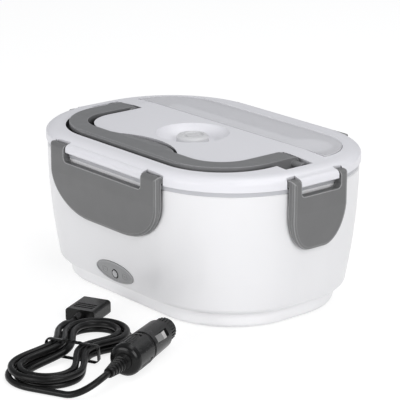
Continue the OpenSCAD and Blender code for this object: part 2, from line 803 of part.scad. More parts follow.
module lid_shell() {
    color(white) difference() {
        union() {
            difference() {
                lid_outer();
                lid_hollow();
            }
            translate([0, 0, channel_z - channel_t])
                linear_extrude(box_h - 2.2 - channel_z + channel_t) channel(floor_t);
            translate([0, 0, pit_z - floor_t]) linear_extrude(box_h - 2.2 - pit_z + floor_t)
                pits(floor_t);
            translate([0, 0, spoon_z - floor_t])
                linear_extrude(box_h - 2.2 - spoon_z + floor_t) spoon_plan(0.4);
            dish(floor_t);
            translate([0, -dish_y, skirt_z - 2.6]) cylinder(r = 7, h = 6);
            for (s = [-1, 1]) {
                rod_x(s > 0 ? field_half - 5.5 : -field_half, s > 0 ? field_half : -field_half + 5.5,
                    pivot_y, pivot_z - 1, 3.9);
                rod_x(s > 0 ? pit_half : -pit_half - 5, s > 0 ? pit_half + 5 : -pit_half,
                    pivot_y, pivot_z - 1.9, 3.4);
            }
            for (k = [0:3]) side(k) lug((k % 2 == 0) ? big : small);
        }
        translate([0, 0, channel_z]) linear_extrude(20) channel(0);
        translate([0, 0, pit_z]) linear_extrude(20) pits(0);
        translate([0, 0, spoon_z]) linear_extrude(20) spoon_plan(-ledge);
        translate([0, 0, box_h - cover_t - seat]) linear_extrude(20) spoon_plan(0);
        dish(0);
        translate([0, -dish_y, skirt_z - 4]) cylinder(r = vent_r, h = 20);
        for (s = [-1, 1]) rod_x(s > 0 ? pin_x0 : -pin_x1, s > 0 ? pin_x1 : -pin_x0,
            pivot_y, pivot_z, handle_pin_d / 2 + 0.02);
        for (k = [0:3]) side(k) notch((k % 2 == 0) ? big : small);
    }
}

pin_x0 = field_half - 4;
pin_x1 = pit_half + 4;
vent_r = 3.2;

module handle_pins() {
    color(steel) for (s = [-1, 1]) rod_x(s > 0 ? pin_x0 + 0.2 : -pin_x1 + 0.2,
        s > 0 ? pin_x1 - 0.2 : -pin_x0 - 0.2, pivot_y, pivot_z, handle_pin_d / 2);
}

liner_z = skirt_z - 4.7;

module lid_liner() {
    r = lid_r;
    color(plateau_white) difference() {
        wrap(liner_z, liner_z + 2) polygon([[0, liner_z], [r - 7.9, liner_z],
            [r - 7.9, liner_z + 0.9], [r - 9.4, liner_z + 0.9], [r - 9.4, liner_z + 3.5],
            [r - 7.9, liner_z + 3.5], [r - 7.9, skirt_z + 0.3], [r - lid_skirt - 0.5, skirt_z + 0.3],
            [r - lid_skirt - 0.5, rail_z], [r - 9, rail_z], [r - 9, skirt_z - 0.1],
            [r - 11.2, skirt_z - 0.1], [r - 11.2, liner_z + 2], [0, liner_z + 2]]);
        translate([0, -dish_y, liner_z - 1]) cylinder(r = vent_r, h = 5);
    }
}

module lid_gasket() {
    r = lid_r;
    color([0.9, 0.9, 0.88]) wrap() polygon([[r - 9.3, liner_z + 1], [r - 7.5, liner_z + 1],
        [r - pot_in(rim_z) - pot_wall - 0.45, liner_z + 1.7],
        [r - pot_in(rim_z) - pot_wall - 0.45, liner_z + 2.4], [r - 7.6, liner_z + 3.4],
        [r - 9.3, liner_z + 3.4]]);
}

// ---------- handle ----------

module handle_plan() {
    difference() {
        round_rect(-arm_out, arm_out, -bar_out, 60, rim_r - handle_gap);
        round_rect(-arm_in, arm_in, -bar_in, 70, field_r - handle_gap);
        translate([-150, pivot_y]) square([300, 100]);
    }
}

module carry_handle() {
    z0 = handle_top - handle_t;
    color(grey) difference() {
        union() {
            intersection() {
                translate([0, 0, z0]) linear_extrude(handle_t) handle_plan();
                along_x(-arm_out - 1, arm_out + 1) polygon([[-bar_out, z0 + 1.2],
                    [-bar_out, handle_top - 1.2], [-bar_out + 1.2, handle_top], [pivot_y, handle_top],
                    [pivot_y, z0], [-bar_out + 1.2, z0]]);
            }
            // grip swelling that slopes down towards the middle of the lid
            intersection() {
                translate([0, 0, z0]) linear_extrude(handle_t) difference() {
                    swell(field_front, grip_half, grip_out, -handle_gap);
                    translate([-100, -200]) square([200, 200 - bar_in - 2]);
                }
                along_x(-60, 60) polygon([[-bar_in - 3, z0], [-bar_in - 3, handle_top],
                    [-bar_in, handle_top], [-bar_in + grip_out, handle_top - 2.6],
                    [-bar_in + grip_out, z0 + 0.6], [-bar_in + 2, z0]]);
            }
            for (s = [-1, 1]) {
                rod_x(s > 0 ? arm_in : -arm_out, s > 0 ? arm_out : -arm_in, pivot_y, pivot_z, pivot_r);
                rod_x(s > 0 ? arm_out - 1 : -pit_half + 2, s > 0 ? pit_half - 2 : -arm_out + 1,
                    pivot_y, pivot_z, handle_pin_d / 2 + 1.2);
                rod_x(s > 0 ? field_half + 0.6 : -arm_in - 1, s > 0 ? arm_in + 1 : -field_half - 0.6,
                    pivot_y, pivot_z, pivot_r - 0.6);
            }
        }
        for (s = [-1, 1]) rod_x(s > 0 ? arm_in - 5 : -pit_half - 1, s > 0 ? pit_half + 1 : -arm_in + 5,
            pivot_y, pivot_z, handle_pin_d / 2 + run);
    }
}

// ---------- vent plug, spoon and its cover ----------

module vent_plug() {
    z = box_h - dish_h;
    color([0.88, 0.87, 0.86]) translate([0, -dish_y, 0]) {
        rotate_extrude() polygon([[0, z + seat], [cap_r, z + seat], [cap_r, z + 4.6],
            [cap_r - 1.2, z + 5.9], [cap_r - 3.4, z + 6.3], [cap_r - 4, z + 5.3], [0, z + 5.3]]);
        translate([0, 0, z - 5]) cylinder(r = vent_r - 0.3, h = 6);
        translate([-1.2, -5, z + 5.1]) cube([2.4, 10, 1.2]);
    }
}

spoon_top = spoon_z + 4.6;
ledge = 1.6;
bowl_x = cover_half - cover_r + 2;
bowl_y = (cover_front + half_w - cover_in) / 2;
bowl_r = (half_w - cover_in - cover_front) / 2 - ledge - 1;
spoon_end = -74;

module spoon() {
    t = 1.8;
    ball = 34;
    zc = spoon_z + 0.3 + ball;
    color(white) {
        difference() {
            intersection() {
                translate([bowl_x, bowl_y, zc]) sphere(r = ball);
                translate([bowl_x, bowl_y, spoon_z]) cylinder(r = bowl_r, h = 4.6);
            }
            translate([bowl_x, bowl_y, zc]) sphere(r = ball - t);
        }
        translate([0, 0, spoon_top - 2.2]) linear_extrude(2.2) difference() {
            translate([0, bowl_y - 2]) union() {
                translate([spoon_end, -spoon_w / 2]) square([bowl_x - bowl_r + 2 - spoon_end, spoon_w]);
                translate([spoon_end, 0]) circle(d = spoon_w);
            }
            translate([bowl_x, bowl_y]) circle(r = bowl_r - 1.2);
        }
        // foot that carries the handle's end
        translate([spoon_end, bowl_y - 2, spoon_z + seat]) cylinder(d = 5, h = spoon_top - spoon_z - 1);
    }
}

module spoon_cover() {
    z = box_h - cover_t;
    color(clear_grey) {
        translate([0, 0, z]) linear_extrude(cover_t) spoon_plan(-0.4);
        // snap ribs below the plate
        for (x = [-60, 40]) translate([x, cover_front + ledge + 0.4, z - 2.6]) cube([16, 1.2, 2.7]);
    }
}

module front_latch() {
    color(grey) flap_at(0);
}

module right_latch() {
    color(grey) flap_at(1);
}

module rear_latch() {
    color(grey) flap_at(2);
}

module left_latch() {
    color(grey) flap_at(3);
}

// ---------- car lead ----------

lead_at = [60, -154];
lead_turn = 116;
cord_r = cord_d / 2;
fold_r = 3 * cord_d;
draw_in = 9.5;
rise = cord_d + 0.65;
turn_back = floor(hank_turns / 2) + 0.25;
per_turn = 24;
plug_off = 42;
relief_l = 20;
tail_r = 18;
waist_up = 1.5;
tie_t = 1;

module lead_frame() {
    translate([lead_at[0], lead_at[1], 0]) rotate([0, 0, lead_turn]) children();
}

function smooth(t) = let (s = max(0, min(1, t))) s * s * (3 - 2 * s);
// point of the hank at turn u: folds at both ends, runs drawn in at the waist
function hank_point(u) =
    let (a = (u - floor(u)) * per_turn, r = fold_r + hank_step * abs(u - turn_back),
        low = cord_r + rise * smooth((u - turn_back + 0.125) / 0.25),
        k = a < 12 ? (a - 6) / 3 : (a - 18) / 3,
        z = low + (abs(k) < 1 ? waist_up * pow(cos(90 * k), 2) : 0))
    a < 3 ? [-hank_run - r * cos(a * 30), r * sin(a * 30), z] :
    a < 9 ? let (x = hank_run * (a - 6) / 3)
        [x, r - draw_in * pow(cos(90 * x / hank_run), 2), z] :
    a < 15 ? [hank_run + r * sin((a - 9) * 30), r * cos((a - 9) * 30), z] :
    a < 21 ? let (x = hank_run * (18 - a) / 3)
        [x, -r + draw_in * pow(cos(90 * x / hank_run), 2), z] :
    [-hank_run - r * sin((a - 21) * 30), -r * cos((a - 21) * 30), z];
hank_n = round(hank_turns * per_turn);
hank_path = concat([hank_point(0) - [0, cord_d, 0]],
    [for (i = [0:hank_n]) hank_point(i / per_turn)],
    [hank_point(hank_turns) + [cord_d, 0, 0]]);
hank_start = hank_path[0];
hank_end = hank_path[len(hank_path) - 1];

// least gap between passes of the hank, measured on its points and between them
function seg_gap(p, a, b) = let (d = b - a, t = max(0, min(1, (p - a) * d / (d * d))))
    norm(p - a - t * d);
hank_gap = min([for (i = [0:len(hank_path) - 1]) for (j = [0:len(hank_path) - 2])
    if (abs(i - j) > 5 && abs(i - j - 1) > 5)
        seg_gap(hank_path[i], hank_path[j], hank_path[j + 1])]) - cord_d;
function path_len(p) = len(p) < 2 ? 0 :
    [for (i = 0, s = 0; i < len(p); i = i + 1, s = i < len(p) ? s + norm(p[i] - p[i - 1]) : s) s]
    [len(p) - 1];

module cord_hank() {
    color(black) lead_frame() tube(hank_path, cord_r, 6);
}

// band round the waist of the hank
module cord_tie() {
    w = fold_r - draw_in + hank_step * max(turn_back, hank_turns - turn_back) + cord_r + 1.4;
    h = rise + cord_d + waist_up + tie_t + 0.3;
    color(black) lead_frame() difference() {
        along_x(-3.5, 3.5) round_rect(-w, w, 0, h, 3);
        along_x(-5, 5) round_rect(-w + tie_t, w - tie_t, tie_t, h - tie_t, 2.2);
    }
}

plug_x = hank_start[0] + tail_r;
plug_z = plug_d / 2;
tail_path = concat([hank_start, hank_start - [0, cord_d, 0]],
    [for (i = [0:8]) let (a = 180 + 90 * i / 8)
        [plug_x + tail_r * cos(a), -plug_off + tail_r + tail_r * sin(a),
            cord_r + (plug_z - cord_r) * smooth(i / 8)]],
    [[plug_x + cord_d, -plug_off, plug_z]]);

module cord_tail() {
    color(black) lead_frame() tube(tail_path, cord_r, 8);
}

conn_x = hank_end[0] + 3 * cord_d;
lead_path = [hank_end, hank_end + [cord_d, 0, 0],
    [conn_x - cord_d, hank_end[1], conn_t / 2], [conn_x, hank_end[1], conn_t / 2]];

module cord_lead() {
    color(black) lead_frame() tube(lead_path, cord_r, 8);
}

module connector_body() {
    color(black) lead_frame() translate([conn_x, hank_end[1], conn_t / 2]) {
        rotate([0, 90, 0]) cylinder(r1 = cord_r + 0.8, r2 = cord_r + 1.8, h = 9);
        difference() {
            along_x(8, 8 + conn_l) round_rect(-conn_w / 2, conn_w / 2, -conn_t / 2, conn_t / 2, 2.2);
            for (s = [-1, 1]) rod_x(8 + conn_l - 17, 9 + conn_l, s * pin_pitch / 2, 0, pin_d / 2 + 0.75);
            // grip hollows on both broad sides
            for (s = [-1, 1]) for (i = [0:2]) translate([13 + 3 * i, 0, s * (conn_t / 2 + 0.4)])
                rotate([90, 0, 0]) cylinder(r = 1, h = conn_w - 7, center = true);
        }
    }
}

module connector_contacts() {
    color(brass) lead_frame() translate([conn_x, hank_end[1], conn_t / 2]) for (s = [-1, 1])
        difference() {
            rod_x(8 + conn_l - 17, 8 + conn_l - 1, s * pin_pitch / 2, 0, pin_d / 2 + 0.7);
            rod_x(8 + conn_l - 15, 9 + conn_l, s * pin_pitch / 2, 0, pin_d / 2 + 0.1);
        }
}

// the plug lies along the lead frame's +X, its back end where the tail arrives
module plug_frame() {
    lead_frame() translate([plug_x + cord_d, -plug_off, plug_z]) rotate([0, 90, 0]) children();
}

grip_l = 25;
nose_l = 12;
barrel_l = plug_l - grip_l - nose_l - 4;
body_r = plug_d / 2;
contact_a = 60;

module plug_relief() {
    color(black) plug_frame() difference() {
        rotate_extrude() polygon(concat([[0, 0], [cord_r + 0.9, 0]],
            [for (i = [0:5]) each [[cord_r + 1.2 + 0.35 * i, 3 * i + 0.6],
                [cord_r + 1.2 + 0.35 * i, 3 * i + 2.2], [cord_r + 0.6 + 0.35 * i, 3 * i + 2.6],
                [cord_r + 0.6 + 0.35 * i, 3 * i + 3.2]]],
            [[cord_r + 3.4, relief_l], [0, relief_l]]));
        translate([0, 0, -1]) cylinder(r = 0.6, h = 1.5);
    }
}

module plug_body() {
    z0 = relief_l;
    z1 = z0 + grip_l;
    z2 = z1 + barrel_l;
    color(black) plug_frame() difference() {
        rotate_extrude() polygon(concat([[0, z0], [body_r - 4.5, z0]],
            arc(body_r - 4.5, z0 + 4.5, 4.5, 4.5, -90, 0, 5),
            [[body_r, z1 - 2], [body_r - 0.8, z1], [body_r - 0.9, z1 + 0.8],
                [body_r - 0.4, z1 + 1.6], [body_r - 0.9, z2], [0, z2]]));
        translate([0, 0, z1 + 1]) cylinder(r = 4.4, h = barrel_l + 5);
        for (a = [contact_a, contact_a + 180]) rotate([0, 0, a]) {
            translate([body_r - 3.4, -2.6, z1 + 5]) cube([6, 5.2, barrel_l - 9]);
            // finger flutes of the grip
            for (b = [-40:16:40]) rotate([0, 0, b + 90])
                translate([body_r + 1.5, 0, z0 + 6]) cylinder(r = 2, h = grip_l - 10);
        }
    }
}

module plug_side_contacts() {
    z1 = relief_l + grip_l;
    color(steel) plug_frame() for (a = [contact_a, contact_a + 180]) rotate([0, 0, a])
        translate([0, -2.3, 0]) rotate([90, 0, 180]) mirror([1, 0, 0])
            linear_extrude(4.6) polygon([[body_r - 3.3, z1 + 5.2], [body_r - 2.6, z1 + 5.2],
                [body_r + 0.6, z1 + barrel_l * 0.45], [body_r + 0.6, z1 + barrel_l * 0.6],
                [body_r - 2.6, z1 + barrel_l - 4.3], [body_r - 3.3, z1 + barrel_l - 4.3],
                [body_r - 0.4, z1 + barrel_l * 0.6], [body_r - 0.4, z1 + barrel_l * 0.45]]);
}

module plug_nose() {
    z2 = relief_l + grip_l + barrel_l;
    color(black) plug_frame() difference() {
        union() {
            translate([0, 0, z2]) cylinder(r = body_r - 2.2, h = 2.5);
            translate([0, 0, z2 + 2]) cylinder(r = body_r - 3.2, h = nose_l - 3);
            translate([0, 0, z2 + nose_l - 1]) cylinder(r1 = body_r - 3.2, r2 = body_r - 5, h = 1);
            for (i = [0:23]) rotate([0, 0, 15 * i])
                translate([body_r - 3.5, -0.5, z2 + 2]) cube([0.9, 1, nose_l - 4]);
        }
        translate([0, 0, z2 - 1]) cylinder(r = 4.4, h = nose_l - 1);
        translate([0, 0, z2 - 1]) cylinder(r = tip_r + run, h = nose_l + 5);
    }
}

tip_r = 3.2;
tip_out = 5;

module plug_tip() {
    z3 = relief_l + grip_l + barrel_l + nose_l;
    color(steel) plug_frame() rotate_extrude() polygon([[0, z3 - 5.4], [4.2, z3 - 5.4],
        [4.2, z3 - 2.3], [tip_r, z3 - 2.3], [tip_r, z3 + tip_out - 2], [tip_r - 1.4, z3 + tip_out],
        [0, z3 + tip_out]]);
}

module plug_fuse() {
    z3 = relief_l + grip_l + barrel_l + nose_l;
    l = barrel_l + nose_l - 11;
    color(steel) plug_frame() {
        translate([0, 0, z3 - 9.2 - l]) cylinder(r = 3.2, h = l);
        translate([0, 0, z3 - 9.2 - l - 0.2]) cylinder(r = 2.5, h = l + 0.4);
    }
}

echo("least gap in the hank", hank_gap);
echo("length of the cord", path_len(hank_path), path_len(tail_path), path_len(lead_path));

outer_housing();
bottom_cover();
rubber_feet();
cover_screws();
heating_plate();
heater_element();
heater_clamp();
clamp_nuts();
thermostat();
thermal_fuse();
led_board();
led_lamp();
indicator_panel();
led_lens();
inlet_socket();
inlet_pins();
inner_leads();
food_container();
side_tray();
lid_shell();
lid_liner();
lid_gasket();
carry_handle();
handle_pins();
vent_plug();
spoon();
spoon_cover();
front_latch();
rear_latch();
right_latch();
left_latch();
cord_hank();
cord_tie();
cord_tail();
cord_lead();
connector_body();
connector_contacts();
plug_relief();
plug_body();
plug_nose();
plug_tip();
plug_side_contacts();
plug_fuse();
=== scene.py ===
import math

import bmesh
import bpy
from mathutils import Matrix, Vector


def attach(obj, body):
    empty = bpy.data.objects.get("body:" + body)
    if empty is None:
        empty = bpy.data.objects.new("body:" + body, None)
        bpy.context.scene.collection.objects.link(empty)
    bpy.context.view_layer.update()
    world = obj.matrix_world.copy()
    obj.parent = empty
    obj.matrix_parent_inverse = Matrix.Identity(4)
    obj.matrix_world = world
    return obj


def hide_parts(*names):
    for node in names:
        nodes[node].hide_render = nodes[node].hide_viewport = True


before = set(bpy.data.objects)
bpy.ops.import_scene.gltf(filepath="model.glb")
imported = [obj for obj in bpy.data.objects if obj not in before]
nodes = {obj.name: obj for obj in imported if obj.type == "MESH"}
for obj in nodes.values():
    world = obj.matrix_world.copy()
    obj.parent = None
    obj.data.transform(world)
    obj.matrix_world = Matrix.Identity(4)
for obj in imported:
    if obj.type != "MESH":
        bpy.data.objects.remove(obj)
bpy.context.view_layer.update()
scene = bpy.context.scene
MM = 0.001

# ---------------------------------------------------------------- camera
# fitted to the box in the photograph; its focal length and shifts are in the picture's pixels
PHOTO_SIDE = 400
FOCAL_LENGTH = 1950.65
SHIFT_X, SHIFT_Y = -0.3, 6.98
SENSOR = 36
AZIMUTH, ELEVATION, ROLL = 49.75, 17.52, 0.27       # degrees
DISTANCE = 1.3331
LOOKED_AT = (0, 0, 0.05336)


def make_camera():
    azimuth, elevation, roll = (math.radians(a) for a in (AZIMUTH, ELEVATION, ROLL))
    back = Vector((math.sin(azimuth) * math.cos(elevation),
                   -math.cos(azimuth) * math.cos(elevation), math.sin(elevation)))
    level = Vector((math.cos(azimuth), math.sin(azimuth), 0))
    upright = back.cross(level)
    right = level * math.cos(roll) + upright * math.sin(roll)
    up = upright * math.cos(roll) - level * math.sin(roll)
    place = Vector(LOOKED_AT) + back * DISTANCE
    data = bpy.data.cameras.new("camera")
    data.sensor_width = SENSOR
    data.lens = FOCAL_LENGTH * SENSOR / PHOTO_SIDE
    data.shift_x = SHIFT_X / PHOTO_SIDE
    data.shift_y = SHIFT_Y / PHOTO_SIDE
    data.clip_start, data.clip_end = 0.05, 20
    cam = bpy.data.objects.new("camera", data)
    cam.matrix_world = Matrix(((right.x, up.x, back.x, place.x),
                               (right.y, up.y, back.y, place.y),
                               (right.z, up.z, back.z, place.z),
                               (0, 0, 0, 1)))
    scene.collection.objects.link(cam)
    scene.camera = cam


make_camera()

# ---------------------------------------------------------------- materials
NOISE_SPAN = (0.3, 0.7)         # the noise's values over which a colour or gloss changes
GLOSS_TO_BLOTCH = 3.1           # the gloss varies in finer patches than the colour
SMOOTHEST = 0.02
IOR = 1.46
GRAIN_STRENGTH = 0.6
SCATTER_RADIUS = 0.004
SHADING_SAMPLES = 8
EDGE_HIGHLIGHT_RADIUS = 0.0012
EDGE_HIGHLIGHT_COSINES = (0.955, 0.998)   # painted highlight: own normal against rounded one, lightest up to the first, flat from then
GAP_SHADE_OPEN_SKY = (0.18, 0.6)     # painted shade by share of open sky: darkest up to the first, plain from the second
GAP_SHADE_DARKEST = 0.05


def plastic(name, colour, rough, spread=0.03, blotch=60, grain=2600, relief=0.00002,
            gloss_range=0.06, metal=0.0, coat=0.0, coat_rough=0.15, alpha=1.0, subsurface=0.0,
            stretch=None, gap_shade=0.0, edge_highlight=0.0, specular=0.5):
    """A moulded or metal surface: soft blotches in its colour, uneven gloss and a fine grain.

    crevice is the reach of the painted shade that darkens the colour in narrow gaps, edge how much
    lighter a painted highlight makes its edges."""
    m = bpy.data.materials.new(name)
    m.use_nodes = True
    tree = m.node_tree
    add, link = tree.nodes.new, tree.links.new
    tree.nodes.clear()
    out = add("ShaderNodeOutputMaterial")
    shader = add("ShaderNodeBsdfPrincipled")
    link(shader.outputs[0], out.inputs[0])
    place = add("ShaderNodeTexCoord")
    mapping = add("ShaderNodeMapping")
    if stretch:
        mapping.inputs["Scale"].default_value = stretch
    link(place.outputs["Object"], mapping.inputs["Vector"])

    def noise(scale, detail, roughness=0.5):
        n = add("ShaderNodeTexNoise")
        n.inputs["Scale"].default_value = scale
        n.inputs["Detail"].default_value = detail
        n.inputs["Roughness"].default_value = roughness
        link(mapping.outputs[0], n.inputs["Vector"])
        return n.outputs[0]

    def ranged(value, low, high, to_low, to_high):
        n = add("ShaderNodeMapRange")
        n.inputs["From Min"].default_value = low
        n.inputs["From Max"].default_value = high
        n.inputs["To Min"].default_value = to_low
        n.inputs["To Max"].default_value = to_high
        link(value, n.inputs["Value"])
        return n.outputs[0]

    def scaled(colour_in, factor):
        n = add("ShaderNodeVectorMath")
        n.operation = "SCALE"
        link(colour_in, n.inputs[0])
        link(factor, n.inputs["Scale"])
        return n.outputs[0]

    ramp = add("ShaderNodeValToRGB")
    for end, at, share in zip(ramp.color_ramp.elements, NOISE_SPAN, (1 - spread, 1 + spread)):
        end.position = at
        end.color = (*(min(1, c * share) for c in colour), 1)
    link(noise(blotch, detail=3), ramp.inputs[0])
    tint = ramp.outputs[0]
    # painted highlight: the colour is made lighter on the rounded edges
    if edge_highlight:
        rounded = add("ShaderNodeBevel")
        rounded.samples = SHADING_SAMPLES
        rounded.inputs["Radius"].default_value = EDGE_HIGHLIGHT_RADIUS
        own = add("ShaderNodeNewGeometry")
        dot = add("ShaderNodeVectorMath")
        dot.operation = "DOT_PRODUCT"
        link(rounded.outputs[0], dot.inputs[0])
        link(own.outputs["Normal"], dot.inputs[1])
        tint = scaled(tint, ranged(dot.outputs["Value"], *EDGE_HIGHLIGHT_COSINES, 1 + edge_highlight, 1.0))
    # painted shade: the colour is darkened in narrow gaps, where little open sky reaches
    if gap_shade:
        sky = add("ShaderNodeAmbientOcclusion")
        sky.samples = SHADING_SAMPLES
        sky.inputs["Distance"].default_value = gap_shade
        tint = scaled(tint, ranged(sky.outputs["AO"], *GAP_SHADE_OPEN_SKY, GAP_SHADE_DARKEST, 1.0))
    link(tint, shader.inputs["Base Color"])
    link(ranged(noise(blotch * GLOSS_TO_BLOTCH, detail=4), *NOISE_SPAN,
                max(SMOOTHEST, rough - gloss_range), min(1, rough + gloss_range)),
         shader.inputs["Roughness"])
    bump = add("ShaderNodeBump")
    bump.inputs["Strength"].default_value = GRAIN_STRENGTH
    bump.inputs["Distance"].default_value = relief
    link(noise(grain, detail=2, roughness=0.6), bump.inputs["Height"])
    link(bump.outputs[0], shader.inputs["Normal"])
    shader.inputs["Metallic"].default_value = metal
    shader.inputs["IOR"].default_value = IOR
    shader.inputs["Specular IOR Level"].default_value = specular
    shader.inputs["Coat Weight"].default_value = coat
    shader.inputs["Coat Roughness"].default_value = coat_rough
    shader.inputs["Alpha"].default_value = alpha
    if subsurface:
        shader.inputs["Subsurface Weight"].default_value = subsurface
        shader.inputs["Subsurface Radius"].default_value = (SCATTER_RADIUS,) * 3
        shader.inputs["Subsurface Scale"].default_value = 1.0
    return m


white = plastic("white_plastic", (0.805, 0.80, 0.812), 0.3, spread=0.004, blotch=18,
                relief=0.000004, gloss_range=0.02, coat=0.2, coat_rough=0.2, gap_shade=0.005)
lid_white = plastic("lid_plastic", (0.775, 0.77, 0.805), 0.36, spread=0.005, blotch=18,
                    relief=0.000006, gloss_range=0.02, coat=0.15, coat_rough=0.22, gap_shade=0.009)
inner_white = plastic("inner_plastic", (0.76, 0.76, 0.78), 0.4, spread=0.02)
grey = plastic("grey_plastic", (0.148, 0.148, 0.149), 0.4, blotch=45, grain=3800,
               relief=0.00003, gloss_range=0.05, gap_shade=0.004, edge_highlight=1.3)
# the handle is a lighter copy of the latches' grey: painted sheen, besides its real gloss
handle_grey_painted_sheen = plastic("handle_plastic_painted_sheen", (0.178, 0.178, 0.182), 0.34, blotch=45, grain=3800,
                      relief=0.00003, gloss_range=0.05, gap_shade=0.009, edge_highlight=0.5)
panel = plastic("panel_plastic", (0.30, 0.30, 0.305), 0.4, spread=0.02, blotch=120,
                relief=0.00001, gap_shade=0.0012, edge_highlight=0.25)
spoon_white = plastic("spoon_plastic", (0.90, 0.90, 0.91), 0.3, spread=0.01, subsurface=0.1)
# the bottom cover is a lighter copy of the housing's white: painted light on the low plinth
base_white_painted_light = plastic("base_plastic_painted_light", (0.90, 0.895, 0.905), 0.32, spread=0.004, blotch=18,
                     relief=0.000004, gloss_range=0.02, coat=0.2, coat_rough=0.2)
band = plastic("pot_plastic", (0.52, 0.52, 0.55), 0.34, spread=0.02, blotch=40, subsurface=0.25)
clear = plastic("clear_plastic", (0.95, 0.945, 0.98), 0.2, spread=0.01, blotch=20,
                relief=0.000004, gloss_range=0.03, coat=0.4, coat_rough=0.08, alpha=0.52)
lens = plastic("lens_plastic", (0.42, 0.42, 0.43), 0.14, spread=0.01, coat=0.5, coat_rough=0.05)
silicone = plastic("soft_rubber", (0.62, 0.62, 0.63), 0.48, blotch=150, subsurface=0.2)
black = plastic("black_plastic", (0.005, 0.005, 0.005), 0.24, spread=0.1, blotch=120, grain=3000,
                relief=0.000004, gloss_range=0.04, specular=0.3)
black_soft = plastic("black_rubber", (0.005, 0.005, 0.005), 0.34, spread=0.2, blotch=200,
                     grain=3600, relief=0.00001, gloss_range=0.05, specular=0.26)
steel = plastic("steel", (0.58, 0.585, 0.60), 0.3, spread=0.05, blotch=300, metal=1.0,
                relief=0.00001, stretch=(1, 8, 8))
nickel = plastic("nickel", (0.70, 0.69, 0.67), 0.16, spread=0.04, blotch=260, metal=1.0,
                 relief=0.000006)
brass = plastic("brass", (0.66, 0.50, 0.22), 0.28, spread=0.06, blotch=260, metal=1.0)
alu = plastic("aluminium", (0.66, 0.665, 0.68), 0.36, spread=0.04, blotch=90, metal=1.0,
              stretch=(1, 30, 1))
board = plastic("circuit_board", (0.03, 0.16, 0.07), 0.4, spread=0.15, blotch=900)
led = plastic("led_resin", (0.55, 0.03, 0.02), 0.12, spread=0.05, blotch=300, coat=0.5)
ceramic = plastic("ceramic", (0.66, 0.63, 0.56), 0.6, spread=0.08, blotch=400, relief=0.00005)

FINISH = {
    white: ("outer_housing",),
    base_white_painted_light: ("bottom_cover",),
    lid_white: ("lid_shell",),
    inner_white: ("side_tray", "lid_liner"),
    band: ("food_container",),
    grey: ("front_latch", "rear_latch", "right_latch", "left_latch"),
    handle_grey_painted_sheen: ("carry_handle",),
    panel: ("indicator_panel",),
    lens: ("led_lens",),
    silicone: ("lid_gasket", "vent_plug"),
    spoon_white: ("spoon",),
    clear: ("spoon_cover",),
    black: ("inlet_socket", "connector_body", "plug_body", "plug_nose"),
    black_soft: ("rubber_feet", "inner_leads", "cord_hank", "cord_tie", "cord_tail", "cord_lead",
                 "plug_relief"),
    steel: ("cover_screws", "heater_clamp", "clamp_nuts", "thermostat", "handle_pins",
            "plug_fuse"),
    nickel: ("plug_tip", "plug_side_contacts"),
    brass: ("inlet_pins", "connector_contacts"),
    alu: ("heating_plate",),
    board: ("led_board",),
    led: ("led_lamp",),
    ceramic: ("heater_element", "thermal_fuse"),
}


def dress(node, material):
    if not node.material_slots:
        node.data.materials.append(material)
    for s in node.material_slots:
        s.material = material


for material, names in FINISH.items():
    for name in names:
        dress(nodes[name], material)


# ---------------------------------------------------------------- soft edges
def soften(name, width):
    m = nodes[name].modifiers.new("soft_edge", "BEVEL")
    m.width = width
    m.segments = 3
    m.limit_method = "ANGLE"
    m.angle_limit = math.radians(32)
    m.harden_normals = False


for name in ("front_latch", "rear_latch", "right_latch", "left_latch"):
    soften(name, 0.7 * MM)
soften("carry_handle", 0.9 * MM)

# ---------------------------------------------------------------- the car lead, in millimetres
LEAD_AT = Vector((60, -154, 0))
LEAD_TURN = math.radians(116)
CORD_D = 4.2
CORD_R = CORD_D / 2
TURNS = 4.375
RUN = 32                # half a straight run
STEP = 5.4              # from one turn to the next
FOLD = 3 * CORD_D       # radius of the innermost fold
RISE = CORD_D + 0.65    # from the lower layer of turns to the upper one
BACK = math.floor(TURNS / 2) + 0.25     # the turn at which it changes layer,
CLIMB = 0.25            # over this share of a turn
DRAW_IN = 9.5           # the runs are drawn in at the tied waist,
WAIST_UP = 1.5          # and lifted there
LOBE_IN = 0.018         # the left folds are this much shorter, to stay in the solids' box
POINTS_PER_TURN = 96
PLUG_OFF = 42           # from the hank's middle to the plug's axis
TAIL_R = 18             # bend of the cord before the plug
TAIL_POINTS = 16
LEAD_L = 4 * CORD_D     # from the hank into the connector
LEAD_POINTS = 10
PLUG_Z, CONNECTOR_Z = 10.5, 4.75        # heights of the two axes


def smooth(t):
    t = max(0.0, min(1.0, t))
    return t * t * (3 - 2 * t)


def placed(p):
    """A point of the lead's own frame, in millimetres, as a place in the scene."""
    x, y, z = p
    c, s = math.cos(LEAD_TURN), math.sin(LEAD_TURN)
    return ((LEAD_AT.x + x * c - y * s) * MM, (LEAD_AT.y + x * s + y * c) * MM, z * MM)


def hank(u):
    """The point of the hank at turn u, in the lead's own frame.

    A turn has 24 parts, each 30 degrees of a fold or a sixth of a run: 3 in the left fold, 6 in
    one run, 6 in the right fold, 6 in the other run and 3 more in the left fold."""
    a = (u - math.floor(u)) * 24
    r = FOLD + STEP * abs(u - BACK)
    z = CORD_R + RISE * smooth((u - BACK) / CLIMB + 0.5)
    k = (a - 6) / 3 if a < 12 else (a - 18) / 3
    waist = math.cos(math.pi / 2 * k) ** 2 if abs(k) < 1 else 0.0
    z += WAIST_UP * waist
    if a < 3:
        t = math.radians(a * 30)
        r *= 1 - LOBE_IN * math.cos(t) ** 2
        return -RUN - r * math.cos(t), r * math.sin(t), z
    if a < 9:
        return RUN * k, r - DRAW_IN * waist, z
    if a < 15:
        t = math.radians((a - 9) * 30)
        return RUN + r * math.sin(t), r * math.cos(t), z
    if a < 21:
        return -RUN * k, -r + DRAW_IN * waist, z
    t = math.radians((a - 21) * 30)
    r *= 1 - LOBE_IN * math.sin(t) ** 2
    return -RUN - r * math.sin(t), -r * math.cos(t), z


